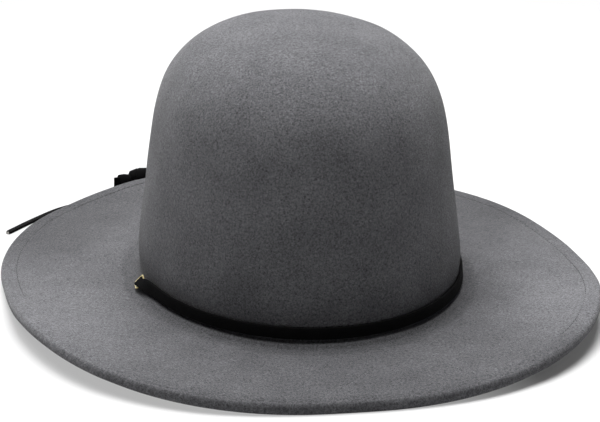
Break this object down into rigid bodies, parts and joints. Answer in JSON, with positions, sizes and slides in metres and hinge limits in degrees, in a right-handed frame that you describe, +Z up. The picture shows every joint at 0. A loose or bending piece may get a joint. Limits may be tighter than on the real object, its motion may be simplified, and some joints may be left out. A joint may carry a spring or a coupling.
{
  "type": "open-crown fedora hat",
  "caption": "Open-crown wool felt hat with a wide stitched brim and a flat suede chin strap through brass slot eyelets.",
  "frame": {"origin": "middle of the brim's outline, on the surface that the hat rests on", "axes": "+Z up through the crown, -Y towards the front of the hat, +X towards the right of the picture's view"},
  "size_m": [0.3144, 0.3522, 0.1483],
  "materials": {
    "felt": "matt brushed wool felt, mid grey",
    "suede": "matt black suede",
    "brass": "polished brass, lightly handled"
  },
  "bodies": {
    "root": {"felt_body": "felt", "eyelet_left": "brass", "eyelet_right": "brass", "strap_front": "suede", "strap_leg_left": "suede", "strap_leg_right": "suede", "strap_knot": "suede", "strap_tail": "suede"}
  },
  "joints": []
}
